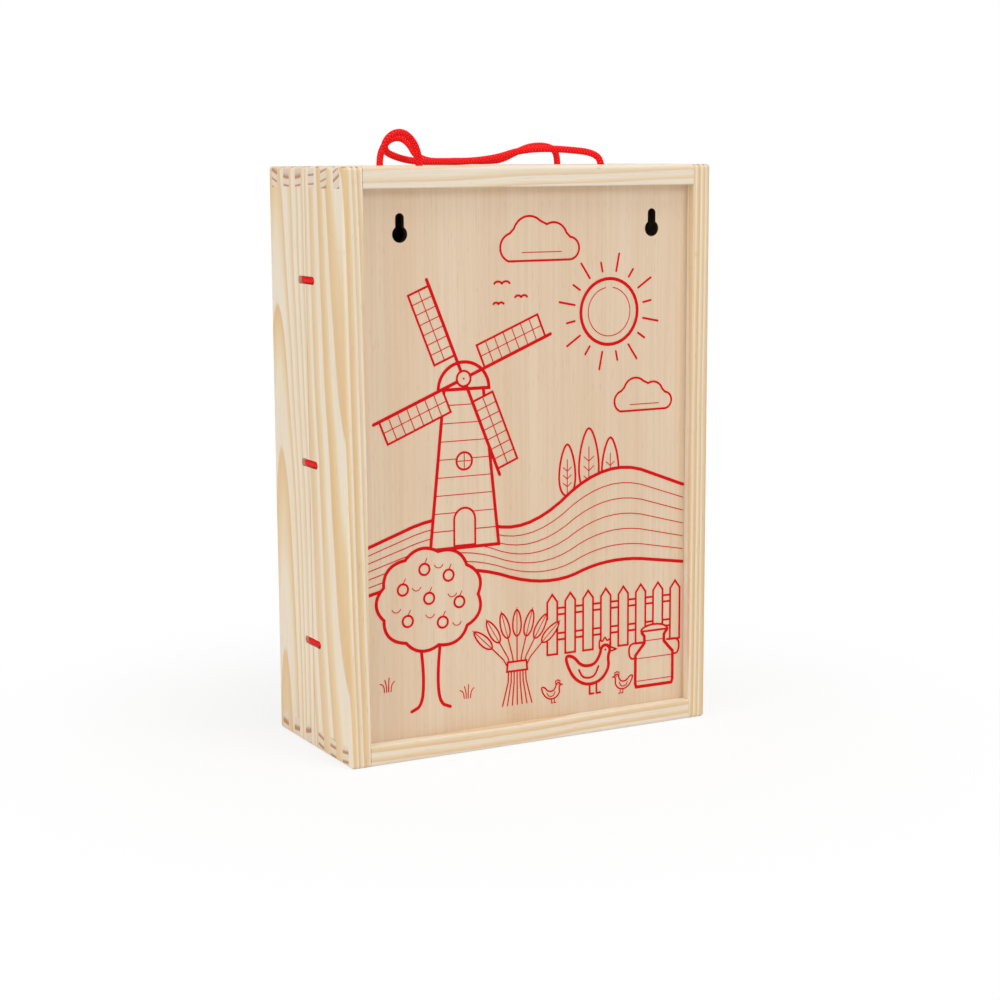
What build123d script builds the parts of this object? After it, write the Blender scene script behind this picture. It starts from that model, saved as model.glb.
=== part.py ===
from build123d import *
import math
import os

os.makedirs("parts", exist_ok=True)

# Millimetres, +Z up. The seam between the two halves is the plane Y = 0, the printed rear panel
# faces -Y, the cord hinges are on the -X side, and the case stands on Z = 0.

# Case of two equal half boxes
case_width = 210.0
case_height = 297.0
half_depth = 46.35
seam_gap = 0.3
board_thickness = 10.5
edge_radius = 2.0
inner_edge_radius = 0.6

# Finger joints at the four corners of each half
finger_count = 3
finger_width = 7.2
finger_pitch = 15.2

# Plywood panel let into the frame
panel_thickness = 4.0
panel_recess = 6.0
panel_tongue = 4.0
panel_fit = 0.1

# Keyhole hangers through the panel, the drop measured from the case's top to the round end
keyhole_offset = 72.5
keyhole_drop = 32.8
keyhole_head_radius = 4.1
keyhole_neck_width = 4.7
keyhole_length = 14.4

# Loft shelf, its top face a little above the middle of the case
loft_rise = 26.5
loft_thickness = 8.0
loft_setback = 2.0
loft_tongue = 3.0
loft_fit = 0.1

# Braided cord of the handles and hinges
cord_diameter = 3.4
cord_play = 0.3
handle_offset = 53.0
handle_hole_play = 0.5
handle_exit_rise = 1.5

# Cord hinges in milled grooves
hinge_spacing = 92.5
hinge_groove_length = 20.0
hinge_cord_depth = 2.0
hinge_bend_radius = 3.4

# Knots on the cord ends
handle_knot_radius = 4.6
handle_knot_height = 7.0
hinge_knot_radius = 4.2
hinge_knot_height = 6.0
knot_rounding = 1.4

# Disc magnets that hold the case shut
magnet_radius = 3.0
magnet_thickness = 2.5
magnet_inset = 60.0
magnet_fit = 0.05

# Play pieces, cut from thick board, and their places across the case
figure_thickness = 12.0
figure_setback = 14.0
figure_rounding = 1.2
cow_place = -38.0
sheep_place = 38.0
hen_place = 42.0
hay_bale_place = -30.0
horse_place = -38.0
pig_place = 38.0
tree_place = 46.0
fence_place = -25.0

# Hay bale
bale_length = 38.0
bale_height = 20.0
bale_depth = 22.0
bale_rounding = 2.4
twine_groove = 1.0

# Picket fence on two cross feet
picket_count = 5
picket_pitch = 15.0
picket_width = 8.0
picket_height = 37.0
picket_point = 5.0
picket_clearance = 2.0
fence_board = 4.0
rail_width = 5.0
rail_overhang = 6.4
lower_rail_height = 10.8
upper_rail_height = 24.5
foot_width = 8.0
foot_depth = 20.0
foot_height = 5.0

# Worked out from the above
rear_face = -(half_depth + seam_gap / 2)
seam_face = -seam_gap / 2
half_centre = (rear_face + seam_face) / 2
side_centre = (case_width - board_thickness) / 2
inner_width = case_width - 2 * board_thickness
inner_height = case_height - 2 * board_thickness
inner_side = inner_width / 2
floor_level = board_thickness
ceiling_level = case_height - board_thickness
loft_height = case_height / 2 + loft_rise
keyhole_height = case_height - keyhole_drop
panel_outer_face = rear_face + panel_recess
panel_inner_face = panel_outer_face + panel_thickness
panel_centre = (panel_outer_face + panel_inner_face) / 2
finger_margin = (half_depth - finger_width - (finger_count - 1) * finger_pitch) / 2
hinge_heights = [case_height / 2 + step * hinge_spacing for step in (-1, 0, 1)]
hinge_cord_x = -case_width / 2 + hinge_cord_depth
cord_hole_radius = cord_diameter / 2 + cord_play
hinge_hole_y = hinge_groove_length / 2 - cord_hole_radius
hinge_groove_depth = hinge_cord_depth + cord_hole_radius
handle_holes = [(-handle_offset, half_centre), (handle_offset, half_centre)]


def finger_positions():
    """Middle of each finger across the depth of the rear half."""
    first = rear_face + finger_margin + finger_width / 2
    return [first + count * finger_pitch for count in range(finger_count)]


def corner_positions(side):
    """Middle of each finger block at the top and bottom corner of one side."""
    heights = (board_thickness / 2, case_height - board_thickness / 2)
    return [(side * side_centre, y, z) for z in heights for y in finger_positions()]


def write_part(part, name):
    """Label a finished piece and write it under its node name."""
    part.label = name
    export_step(part, f"parts/{name}.step")


def half_outline():
    """The rear half as a solid block with its outer edges rounded over."""
    with BuildPart() as outline:
        with Locations((0, half_centre, case_height / 2)):
            Box(case_width, half_depth, case_height)
        outer_edges = outline.edges().filter_by(lambda edge: edge.center().Y < seam_face - edge_radius)
        fillet(outer_edges, edge_radius)
    return outline.part


def face_edges(board, direction):
    """Edges of a board that run one way in the plane of the rear face."""
    return board.edges().filter_by(direction).filter_by_position(Axis.Y, rear_face - 0.01, rear_face + 0.01)


def panel_block(play):
    """The panel's outline, grown by the play on every side for the groove that takes it."""
    with BuildPart() as block:
        with Locations((0, panel_centre, case_height / 2)):
            Box(
                inner_width + 2 * (panel_tongue + play),
                panel_thickness + 2 * play,
                inner_height + 2 * (panel_tongue + play),
            )
    return block.part


def loft_block(play):
    """The loft shelf, from the panel to just short of the seam, grown by the play for its housing."""
    depth = seam_face - loft_setback - panel_inner_face
    with BuildPart() as block:
        with Locations((0, panel_inner_face + depth / 2, loft_height - loft_thickness / 2)):
            Box(inner_width + 2 * (loft_tongue + play), depth + 2 * play, loft_thickness + 2 * play)
    return block.part


def hinge_route(height, overrun):
    """Wire of one hinge cord: through the rear side, along the groove, through the front side."""
    inner_end = -inner_side + overrun
    with BuildLine() as route:
        FilletPolyline(
            (inner_end, -hinge_hole_y, height),
            (hinge_cord_x, -hinge_hole_y, height),
            (hinge_cord_x, hinge_hole_y, height),
            (inner_end, hinge_hole_y, height),
            radius=hinge_bend_radius,
        )
    return route.wire()


def hinge_tube(height, radius, overrun):
    """Round tube along a hinge cord's route."""
    route = hinge_route(height, overrun)
    with BuildPart() as tube:
        with BuildSketch(Plane(origin=route @ 0, z_dir=route % 0)):
            Circle(radius)
        sweep(path=route)
    return tube.part


def hinge_groove(height):
    """Round-ended milled groove across the seam, with the bores that the cord dives through."""
    with BuildPart() as groove:
        with BuildSketch(Plane.YZ.offset(-case_width / 2)):
            with Locations((0, height)):
                SlotOverall(hinge_groove_length, 2 * cord_hole_radius)
        extrude(amount=hinge_groove_depth)
        add(hinge_tube(height, cord_hole_radius, cord_hole_radius))
    return groove.part


def magnet_positions():
    """Middle of each magnet's face on the seam edge of the opening side."""
    return [(side_centre, seam_face, z) for z in (magnet_inset, case_height - magnet_inset)]


def magnet_discs(play):
    """Discs let into the seam edge from the seam inwards."""
    depth = magnet_thickness + play
    with BuildPart() as discs:
        with Locations([(x, y - depth / 2, z) for x, y, z in magnet_positions()]):
            Cylinder(magnet_radius + play, depth, rotation=(90, 0, 0))
    return discs.part


def side_board(side):
    """Pine side board with finger sockets, panel groove and shelf housing."""
    with BuildPart() as board:
        with Locations((side * side_centre, half_centre, case_height / 2)):
            Box(board_thickness, half_depth, case_height)
        with Locations(corner_positions(side)):
            Box(board_thickness, finger_width, board_thickness, mode=Mode.SUBTRACT)
        add(panel_block(panel_fit), mode=Mode.SUBTRACT)
        add(loft_block(loft_fit), mode=Mode.SUBTRACT)
        if side < 0:
            for height in hinge_heights:
                add(hinge_groove(height), mode=Mode.SUBTRACT)
        else:
            add(magnet_discs(magnet_fit), mode=Mode.SUBTRACT)
        add(half_outline(), mode=Mode.INTERSECT)
        inner_first = face_edges(board, Axis.Z).sort_by(lambda edge: abs(edge.center().X))
        fillet(inner_first[0], inner_edge_radius)
    return board.part


def cross_board(height, holes):
    """Pine top or bottom board with its fingers, panel groove and any cord holes."""
    with BuildPart() as board:
        with Locations((0, half_centre, height)):
            Box(inner_width, half_depth, board_thickness)
        for side in (-1, 1):
            with Locations([place for place in corner_positions(side) if place[2] == height]):
                Box(board_thickness, finger_width, board_thickness)
        add(panel_block(panel_fit), mode=Mode.SUBTRACT)
        if holes:
            with Locations([(x, y, height) for x, y in holes]):
                Cylinder(cord_diameter / 2 + handle_hole_play, board_thickness, mode=Mode.SUBTRACT)
        add(half_outline(), mode=Mode.INTERSECT)
        inner_first = face_edges(board, Axis.X).sort_by(lambda edge: abs(edge.center().Z - case_height / 2))
        fillet(inner_first[0], inner_edge_radius)
    return board.part


def plywood_panel():
    """Plywood panel with two keyhole slots, round end down."""
    neck_top = keyhole_height - keyhole_head_radius + keyhole_length - keyhole_neck_width / 2
    neck_length = neck_top - keyhole_height
    with BuildPart() as panel:
        add(panel_block(0))
        with BuildSketch(Plane.XZ.offset(-panel_centre)):
            for x in (-keyhole_offset, keyhole_offset):
                with Locations((x, keyhole_height)):
                    Circle(keyhole_head_radius)
                with Locations((x, keyhole_height + neck_length / 2)):
                    Rectangle(keyhole_neck_width, neck_length)
                with Locations((x, neck_top)):
                    Circle(keyhole_neck_width / 2)
        extrude(amount=panel_thickness, both=True, mode=Mode.SUBTRACT)
    return panel.part


def knot(radius, height):
    """Pulled-tight knot as a rounded bead, standing on its flat face at Z = 0."""
    with BuildPart() as bead:
        Cylinder(radius, height, align=(Align.CENTER, Align.CENTER, Align.MIN))
        fillet(bead.edges().group_by(Axis.Z)[-1], height / 2)
        fillet(bead.edges().group_by(Axis.Z)[0], knot_rounding)
    return bead.part


def handle_knots():
    """Two knots that hang under the handle holes against the top board."""
    with BuildPart() as knots:
        for x, y in handle_holes:
            place = Plane(origin=(x, y, ceiling_level), x_dir=(1, 0, 0), z_dir=(0, 0, -1))
            add(place.location * knot(handle_knot_radius, handle_knot_height))
    return knots.part


def hinge_knots():
    """Three knots against the inside of the left side board, one per hinge cord."""
    with BuildPart() as knots:
        for height in hinge_heights:
            place = Plane(origin=(-inner_side, -hinge_hole_y, height), x_dir=(0, 1, 0), z_dir=(1, 0, 0))
            add(place.location * knot(hinge_knot_radius, hinge_knot_height))
    return knots.part


def cord_radii(points):
    """Radius of the arc at each corner of a route: as large as its two runs allow."""
    radii = []
    for before, corner, after in zip(points, points[1:], points[2:]):
        run_in = Vector(*corner) - Vector(*before)
        run_out = Vector(*after) - Vector(*corner)
        half_turn = math.radians(run_in.get_angle(run_out)) / 2
        radii.append(0.45 * min(run_in.length, run_out.length) / math.tan(half_turn))
    return radii


def handle_cord(side, lift_points):
    """Limp cord handle: up out of one hole, its loose lie above the top board, down into the other."""
    hole_y = side * -half_centre
    points = [
        (-handle_offset, hole_y, ceiling_level),
        (-handle_offset, hole_y, case_height - handle_exit_rise),
    ]
    points += [(x, y, case_height + lift) for x, y, lift in lift_points]
    points += [
        (handle_offset, hole_y, case_height + handle_exit_rise),
        (handle_offset, hole_y, ceiling_level),
    ]
    radii = cord_radii(points)
    with BuildLine() as route:
        FilletPolyline(*points, radius=radii)
    path = route.wire()
    with BuildPart() as cord:
        with BuildSketch(Plane(origin=path @ 0, z_dir=path % 0)):
            Circle(cord_diameter / 2)
        sweep(path=path)
    print("cord length", round(path.length, 1), "tightest bend", round(min(radii), 1))
    return cord.part


def eased_slab(shape, x, level):
    """One flat shape of a play piece, cut from thick board, its rims rounded for small hands."""
    back = seam_face - figure_setback + figure_thickness / 2
    with BuildPart() as slab:
        with BuildSketch(Plane.XZ.offset(-back)):
            with Locations((x, level)):
                add(shape)
        extrude(amount=figure_thickness)
        rims = slab.edges().group_by(Axis.Y)
        fillet(rims[0] + rims[-1], figure_rounding)
    return slab.part


def play_piece(shapes, x, level):
    """A play piece as the union of its eased shapes, standing at x on a floor level."""
    with BuildPart() as piece:
        for shape in shapes:
            add(eased_slab(shape, x, level))
    return piece.part


def legs(places, width, height, taper):
    """Legs that taper by so many degrees a side towards the feet, which stand on the ground line."""
    leg = Rot(0, 0, 180) * Trapezoid(width, height, 90 - taper)
    return [Pos(place, height / 2) * leg for place in places]


def lobes(count, middle, reach_x, reach_y, radius):
    """Even ring of round lobes about a middle point, for a fleece or a tree's crown."""
    turns = [2 * math.pi * (step + 0.5) / count for step in range(count)]
    x, y = middle
    return [Pos(x + reach_x * math.cos(turn), y + reach_y * math.sin(turn)) * Circle(radius) for turn in turns]


def cow_shapes():
    """Long level back, deep belly, forward head with a horn, hanging tail."""
    return legs((-20.5, -9.5, 10.0, 21.0), 8.5, 30.0, 3) + [
        Pos(0, 35) * RectangleRounded(54, 27, 10),
        Pos(25, 44) * Rot(0, 0, 28) * RectangleRounded(24, 15, 6),
        Pos(35, 46) * Rot(0, 0, -32) * Ellipse(10.5, 6.6),
        Pos(31, 53) * Rot(0, 0, 62) * Ellipse(5.4, 2.6),
        Pos(-27.5, 35) * RectangleRounded(4.6, 24, 2.2),
    ]


def horse_shapes():
    """Arched neck, long head, pricked ear and full tail."""
    return legs((-20.0, -11.0, 12.5, 21.0), 7.4, 36.0, 2) + [
        Pos(0, 41) * Ellipse(28, 12.5),
        Pos(21, 55) * Rot(0, 0, 66) * RectangleRounded(34, 14, 6),
        Pos(33, 67) * Rot(0, 0, -34) * Ellipse(12, 5.8),
        Pos(25, 74) * Rot(0, 0, 80) * Ellipse(5, 2.6),
        Pos(-28.5, 35) * Rot(0, 0, 74) * Ellipse(15, 4.6),
    ]


def sheep_shapes():
    """Round fleece of lobes on short legs, with a drooped head."""
    return legs((-12.0, -4.5, 6.0, 13.5), 5.0, 20.0, 1) + lobes(9, (0.0, 27.0), 16.6, 9.4, 6.0) + [
        Pos(0, 27) * RectangleRounded(36, 21, 9),
        Pos(25.5, 31) * Rot(0, 0, -30) * Ellipse(8, 5.2),
    ]


def pig_shapes():
    """Barrel body, blunt snout, pricked ear and short tail."""
    return legs((-14.0, -5.0, 7.0, 15.5), 7.6, 16.0, 4) + [
        Pos(0, 22) * Ellipse(23.5, 13.5),
        Pos(20, 22) * Ellipse(10, 8.6),
        Pos(28.5, 20.5) * RectangleRounded(7, 8.4, 2.6),
        Pos(15.5, 31.5) * Rot(0, 0, 66) * Ellipse(6, 3.4),
        Pos(-24, 27) * Rot(0, 0, -38) * Ellipse(5, 2.6),
    ]


def hen_shapes():
    """Round breast, raised tail, comb and beak, on a low foot."""
    return [
        Pos(0, 4) * RectangleRounded(11, 8, 2),
        Pos(0, 16.5) * Ellipse(13, 10),
        Pos(-11.5, 23) * Rot(0, 0, 122) * Ellipse(10, 5),
        Pos(8.5, 24) * Rot(0, 0, 78) * RectangleRounded(18, 9.5, 4),
        Pos(10, 31) * Circle(5.2),
        Pos(9, 36.4) * Ellipse(4.4, 2.8),
        Pos(15.5, 30.4) * Ellipse(3.6, 2.3),
    ]


def tree_shapes():
    """Round crown of lobes on a trunk that widens at the foot."""
    return lobes(7, (0.0, 53.0), 14.5, 14.5, 8.8) + [
        Pos(0, 53) * Circle(17),
        Pos(0, 20) * RectangleRounded(10, 39, 2),
        Pos(0, 4) * RectangleRounded(24, 8, 3),
    ]


def hay_bale(x, level):
    """Oblong bale with two shallow grooves where the twine goes round."""
    middle = seam_face - figure_setback
    with BuildPart() as bale:
        with Locations((x, middle, level + bale_height / 2)):
            Box(bale_length, bale_depth, bale_height)
        fillet(bale.edges().filter_by(Axis.X), bale_rounding)
        fillet(bale.edges().filter_by(Axis.Z), figure_rounding)
        with BuildSketch(Plane.XY.offset(level + bale_height)):
            with Locations((x - bale_length / 4, middle), (x + bale_length / 4, middle)):
                Rectangle(2 * twine_groove, bale_depth)
        extrude(amount=-twine_groove, mode=Mode.SUBTRACT)
    return bale.part


def picket():
    """One pointed picket, its point up, standing clear of the ground line."""
    shoulder = picket_height - picket_point
    with BuildSketch() as outline:
        with BuildLine():
            Polyline(
                (-picket_width / 2, picket_clearance),
                (picket_width / 2, picket_clearance),
                (picket_width / 2, shoulder),
                (0, picket_height),
                (-picket_width / 2, shoulder),
                close=True,
            )
        make_face()
    return outline.sketch


def picket_fence(x, level):
    """Free-standing fence: pointed pickets on two rails, held up by two cross feet."""
    middle = seam_face - figure_setback
    span = (picket_count - 1) * picket_pitch
    foot_level = level + foot_height / 2
    pointed_picket = picket()
    with BuildPart() as fence:
        with BuildSketch(Plane.XZ.offset(-middle)):
            with Locations((x, level)):
                with GridLocations(picket_pitch, 1, picket_count, 1):
                    add(pointed_picket)
        extrude(amount=fence_board)
        with BuildSketch(Plane.XZ.offset(-middle)):
            with Locations((x, level + lower_rail_height), (x, level + upper_rail_height)):
                Rectangle(span + 2 * rail_overhang, rail_width)
        extrude(amount=-fence_board)
        with Locations((x - span / 2, middle, foot_level), (x + span / 2, middle, foot_level)):
            Box(foot_width, foot_depth, foot_height)
    return fence.part


# Handle cords: x, y and height over the case top at each point of the loose lie
rear_handle_points = [
    (-53.6, -23.5, 6.3),
    (-57.2, -24.6, 12.8),
    (-63.2, -25.7, 16.8),
    (-69.4, -25.7, 15.6),
    (-72.6, -23.9, 10.6),
    (-70.0, -20.7, 6.8),
    (-64.4, -17.3, 5.0),
    (-57.2, -13.5, 3.3),
    (-48.2, -10.3, 2.1),
    (-35.0, -8.1, 2.0),
    (-16.0, -7.5, 2.0),
    (-1.0, -8.9, 3.8),
    (9.0, -11.5, 7.2),
    (22.0, -15.1, 8.4),
    (36.0, -18.9, 7.6),
    (47.8, -22.1, 6.2),
]
front_handle_points = [
    (-52.4, 23.1, 7.0),
    (-48.6, 22.1, 13.0),
    (-42.6, 20.3, 14.6),
    (-38.2, 17.7, 10.8),
    (-36.6, 14.5, 5.0),
    (-31.4, 9.9, 2.0),
    (-21.6, 6.7, 2.0),
    (-12.2, 10.5, 2.0),
    (-9.0, 20.5, 2.0),
    (-7.6, 32.0, 2.0),
    (0.4, 39.4, 2.0),
    (9.4, 35.6, 2.0),
    (10.6, 25.4, 2.0),
    (14.6, 16.7, 2.4),
    (23.0, 15.3, 6.6),
    (32.4, 17.5, 9.6),
    (43.0, 20.9, 10.0),
    (51.0, 22.9, 8.0),
]

# Frame, panel, shelf and hardware of the rear half, and the same again turned to the front
half_pieces = {
    "side_left": side_board(-1),
    "side_right": side_board(1),
    "top_board": cross_board(case_height - board_thickness / 2, handle_holes),
    "bottom_board": cross_board(board_thickness / 2, []),
    "panel": plywood_panel(),
    "loft_shelf": loft_block(0),
    "handle_knots": handle_knots(),
    "hinge_knots": hinge_knots(),
    "magnets": magnet_discs(0),
}
for piece_name, rear_piece in half_pieces.items():
    with BuildPart() as front_piece:
        mirror(rear_piece, about=Plane.XZ)
    write_part(rear_piece, f"rear_{piece_name}")
    write_part(front_piece.part, f"front_{piece_name}")

# Cord hinges across the seam
for place_name, hinge_height in zip(("bottom", "middle", "top"), hinge_heights):
    write_part(hinge_tube(hinge_height, cord_diameter / 2, 0), f"hinge_cord_{place_name}")

# Cord handles
write_part(handle_cord(-1, rear_handle_points), "rear_handle_cord")
write_part(handle_cord(1, front_handle_points), "front_handle_cord")

# Play pieces, standing on the floor or the loft of their half
rear_figures = {
    "cow": play_piece(cow_shapes(), cow_place, floor_level),
    "sheep": play_piece(sheep_shapes(), sheep_place, floor_level),
    "hen": play_piece(hen_shapes(), hen_place, loft_height),
    "hay_bale": hay_bale(hay_bale_place, loft_height),
}
front_figures = {
    "horse": play_piece(horse_shapes(), horse_place, floor_level),
    "pig": play_piece(pig_shapes(), pig_place, floor_level),
    "tree": play_piece(tree_shapes(), tree_place, loft_height),
    "fence": picket_fence(fence_place, loft_height),
}
for piece_name, figure in rear_figures.items():
    write_part(figure, piece_name)
for piece_name, figure in front_figures.items():
    with BuildPart() as front_figure:
        mirror(figure, about=Plane.XZ)
    write_part(front_figure.part, piece_name)
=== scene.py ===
import math
from itertools import groupby

import bmesh
import bpy
from mathutils import Matrix, Vector


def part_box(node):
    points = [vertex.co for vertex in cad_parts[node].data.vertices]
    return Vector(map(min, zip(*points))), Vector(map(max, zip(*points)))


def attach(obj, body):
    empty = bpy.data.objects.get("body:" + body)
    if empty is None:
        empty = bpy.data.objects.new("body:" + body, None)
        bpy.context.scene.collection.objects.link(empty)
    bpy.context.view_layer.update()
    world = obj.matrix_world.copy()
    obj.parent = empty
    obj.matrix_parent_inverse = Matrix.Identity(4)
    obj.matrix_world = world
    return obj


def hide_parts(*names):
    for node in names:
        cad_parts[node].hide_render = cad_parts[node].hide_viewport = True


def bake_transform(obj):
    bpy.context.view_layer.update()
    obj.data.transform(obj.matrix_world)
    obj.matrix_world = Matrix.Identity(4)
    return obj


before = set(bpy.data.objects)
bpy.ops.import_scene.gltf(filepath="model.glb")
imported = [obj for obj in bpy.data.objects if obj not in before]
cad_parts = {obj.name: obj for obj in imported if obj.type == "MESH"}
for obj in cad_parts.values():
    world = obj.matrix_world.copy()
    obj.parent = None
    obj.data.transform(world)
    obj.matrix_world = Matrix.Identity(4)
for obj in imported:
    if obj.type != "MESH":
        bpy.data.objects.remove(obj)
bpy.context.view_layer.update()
bpy.ops.object.select_all(action="DESELECT")


# Side, top and bottom boards of both halves, sawn from solid pine with growth rings that run
# through each board, glued at the corners with three fingers a side. Each board is its own
# cut of the tree, so the rings meet its faces in another way.
def linear(red, green, blue):
    """A display colour, 0 to 255 a channel, as the linear colour a shader takes."""
    def channel(value):
        value /= 255
        return value / 12.92 if value <= 0.04045 else ((value + 0.055) / 1.055) ** 2.4
    return (channel(red), channel(green), channel(blue), 1.0)


def new_material(name):
    material = bpy.data.materials.new(name)
    material.use_nodes = True
    return material


def connect(tree, node, values):
    """Gives each named socket of a node its value, or another node's output."""
    for socket, value in values.items():
        if isinstance(value, bpy.types.NodeSocket):
            tree.links.new(value, node.inputs[socket])
        else:
            node.inputs[socket].default_value = value


def add_node(tree, kind, values=None, **settings):
    """A new node with its settings and its sockets' values."""
    node = tree.nodes.new(kind)
    for setting, value in settings.items():
        setattr(node, setting, value)
    connect(tree, node, values or {})
    return node


def set_shader(tree, values):
    """Gives the material's own shader its colour, gloss and relief."""
    connect(tree, tree.nodes["Principled BSDF"], values)


def calculate(tree, operation, first, second=0.0, third=0.0):
    values = {0: first, 1: second, 2: third}
    return add_node(tree, "ShaderNodeMath", values, operation=operation).outputs[0]


def distance(tree, beside, above):
    """How far a place lies from a point, from its distances along two axes."""
    squares = [calculate(tree, "MULTIPLY", reach, reach) for reach in (beside, above)]
    return calculate(tree, "SQRT", calculate(tree, "ADD", *squares))


def ramp(tree, factor, stops, interpolation="LINEAR"):
    """Colours or plain levels of grey along a factor, as (place, colour) stops."""
    node = add_node(tree, "ShaderNodeValToRGB", {"Fac": factor})
    node.color_ramp.interpolation = interpolation
    elements = node.color_ramp.elements
    while len(elements) < len(stops):
        elements.new(0.5)
    for element, (place, colour) in zip(elements, stops):
        element.position = place
        element.color = colour if isinstance(colour, tuple) else (colour, colour, colour, 1.0)
    return node.outputs["Color"]


def blend_colours(tree, factor, first, second):
    """The first colour where the factor is 0, and the second where it is 1."""
    values = {0: factor, 6: first, 7: second}
    return add_node(tree, "ShaderNodeMix", values, data_type="RGBA").outputs[2]


def noise(tree, place, scale=1.0, detail=2.0, roughness=0.5, distortion=0.0):
    """Cloudy noise over a place."""
    return add_node(tree, "ShaderNodeTexNoise", {
        "Vector": place, "Scale": scale, "Detail": detail,
        "Roughness": roughness, "Distortion": distortion}).outputs["Fac"]


def bump(tree, height, strength, depth):
    """Fine relief in the surface, as a shader's normal."""
    return add_node(tree, "ShaderNodeBump", {
        "Height": height, "Strength": strength, "Distance": depth}).outputs["Normal"]


def finish_node(node, material):
    """Gives a piece of the frame its finish."""
    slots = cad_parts[node].data.materials
    slots.clear()
    slots.append(material)


def saw(board, heart, ring_width, late, drift, taper, seed, pale=0.0):
    """Cuts a board from pine, its grain along its length. The tree's heart is a point across the
    grain, a ring is a year's growth, and late is the orange share of it. Drift slants the lines,
    and taper runs the cut out of the trunk, which draws the rings out into flames. Each seed is
    another tree, and pale bleaches its wood."""
    cream = linear(236, 223, 199)
    ivory = linear(234, 223, 207)
    rosy = linear(231, 204, 172)
    honey = linear(229, 202, 155)
    amber = linear(222, 182, 124)
    fibre_brown = linear(205, 170, 125)
    duct_brown = linear(170, 122, 80)
    end_pale = linear(232, 217, 197)
    end_brown = linear(186, 134, 94)
    pore_brown = linear(150, 104, 70)
    sway_aside = 0.004
    sway_upwards = 0.012
    year_clusters = 90.0
    uneven_years = 1.6
    uneven_paleness = 0.4
    relief_depth = 0.0002

    low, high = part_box(board)
    across, upright, along = (1, 2, 0) if high.x - low.x > high.z - low.z else (0, 1, 2)
    material = new_material("pine_" + board)
    tree = material.node_tree
    surface = add_node(tree, "ShaderNodeTexCoord").outputs
    axes = add_node(tree, "ShaderNodeSeparateXYZ", {0: surface["Object"]}).outputs
    faces = add_node(tree, "ShaderNodeSeparateXYZ", {0: surface["Normal"]}).outputs
    side, rise, length, end = axes[across], axes[upright], axes[along], faces[along]

    def stretch(crosswise, lengthwise, shift=0.0):
        """Places by which a pattern is finer across the grain than along it."""
        return add_node(tree, "ShaderNodeCombineXYZ", {
            0: calculate(tree, "MULTIPLY_ADD", side, crosswise, shift),
            1: calculate(tree, "MULTIPLY", rise, crosswise),
            2: calculate(tree, "MULTIPLY", length, lengthwise)}).outputs[0]

    # Long slow bends of the trunk, and the distance from its heart
    trunk = stretch(5.0, 5.5, seed)
    wander = add_node(tree, "ShaderNodeTexNoise", {"Vector": trunk, "Scale": 1.0, "Detail": 1.5})
    sway = add_node(tree, "ShaderNodeSeparateXYZ", {0: wander.outputs["Color"]}).outputs
    from_heart = []
    for reach, middle, slant, bend, most in (
            (side, heart[0], taper, sway[0], sway_aside), (rise, heart[1], drift, sway[1], sway_upwards)):
        from_middle = calculate(tree, "SUBTRACT", reach, middle)
        straight = calculate(tree, "MULTIPLY_ADD", length, -slant, from_middle)
        from_heart.append(calculate(tree, "MULTIPLY_ADD", bend, most, straight))
    radius = distance(tree, *from_heart)

    # Wide and narrow years, then the place inside one year from its spring wood to its latest
    weather = add_node(tree, "ShaderNodeTexNoise", {
        "W": calculate(tree, "MULTIPLY_ADD", radius, year_clusters, seed),
        "Scale": 1.0, "Detail": 1.0}, noise_dimensions="1D").outputs["Fac"]
    even_age = calculate(tree, "DIVIDE", radius, ring_width)
    age = calculate(tree, "MULTIPLY_ADD", weather, uneven_years, even_age)
    season = calculate(tree, "FRACT", age)
    year = calculate(tree, "FLOOR", age)
    luck = add_node(tree, "ShaderNodeTexWhiteNoise", {"W": year}, noise_dimensions="1D").outputs["Value"]
    wood = ramp(tree, season, [
        (0.0, ivory), (0.6 * (1.0 - late), cream), (1.0 - late, honey),
        (1.0 - 0.3 * late, amber), (0.96, amber), (1.0, ivory)])
    patches = ramp(tree, noise(tree, trunk, scale=2.6, detail=1.0), [(0.42, 0.0), (0.66, 0.22)])
    tinted = blend_colours(tree, patches, wood, rosy)
    paleness = calculate(tree, "MULTIPLY_ADD", luck, uneven_paleness, pale)
    softened = blend_colours(tree, paleness, tinted, ivory)

    # Fibres: fine streaks along the grain and short dark resin ducts
    fibres = noise(tree, stretch(1500.0, 34.0), detail=3.0, roughness=0.6)
    streaks = ramp(tree, fibres, [(0.35, 0.16), (0.65, 0.0)])
    streaked = blend_colours(tree, streaks, softened, fibre_brown)
    ducts = ramp(tree, noise(tree, stretch(2200.0, 150.0), detail=0.0), [(0.76, 0.0), (0.84, 0.3)])
    long_grain = blend_colours(tree, ducts, streaked, duct_brown)

    # End grain: cut fibres drink in more light, and the late wood shows as hard brown bands
    cut_rings = ramp(tree, season, [
        (0.0, end_pale), (0.96 - 1.1 * late, end_pale), (1.0 - 0.55 * late, end_brown),
        (0.94, end_brown), (1.0, end_pale)])
    pores = ramp(tree, noise(tree, surface["Object"], scale=2600.0, detail=1.0), [(0.4, 0.25), (0.6, 0.0)])
    end_grain = blend_colours(tree, pores, cut_rings, pore_brown)
    on_end = ramp(tree, calculate(tree, "ABSOLUTE", end), [(0.6, 0.0), (0.8, 1.0)])
    relief = calculate(tree, "MULTIPLY_ADD", fibres, 0.6, calculate(tree, "MULTIPLY", season, 0.5))
    set_shader(tree, {
        "Base Color": blend_colours(tree, on_end, long_grain, end_grain),
        "Normal": bump(tree, relief, 0.25, relief_depth),
        "Roughness": 0.55, "Specular IOR Level": 0.35})
    finish_node(board, material)


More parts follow.
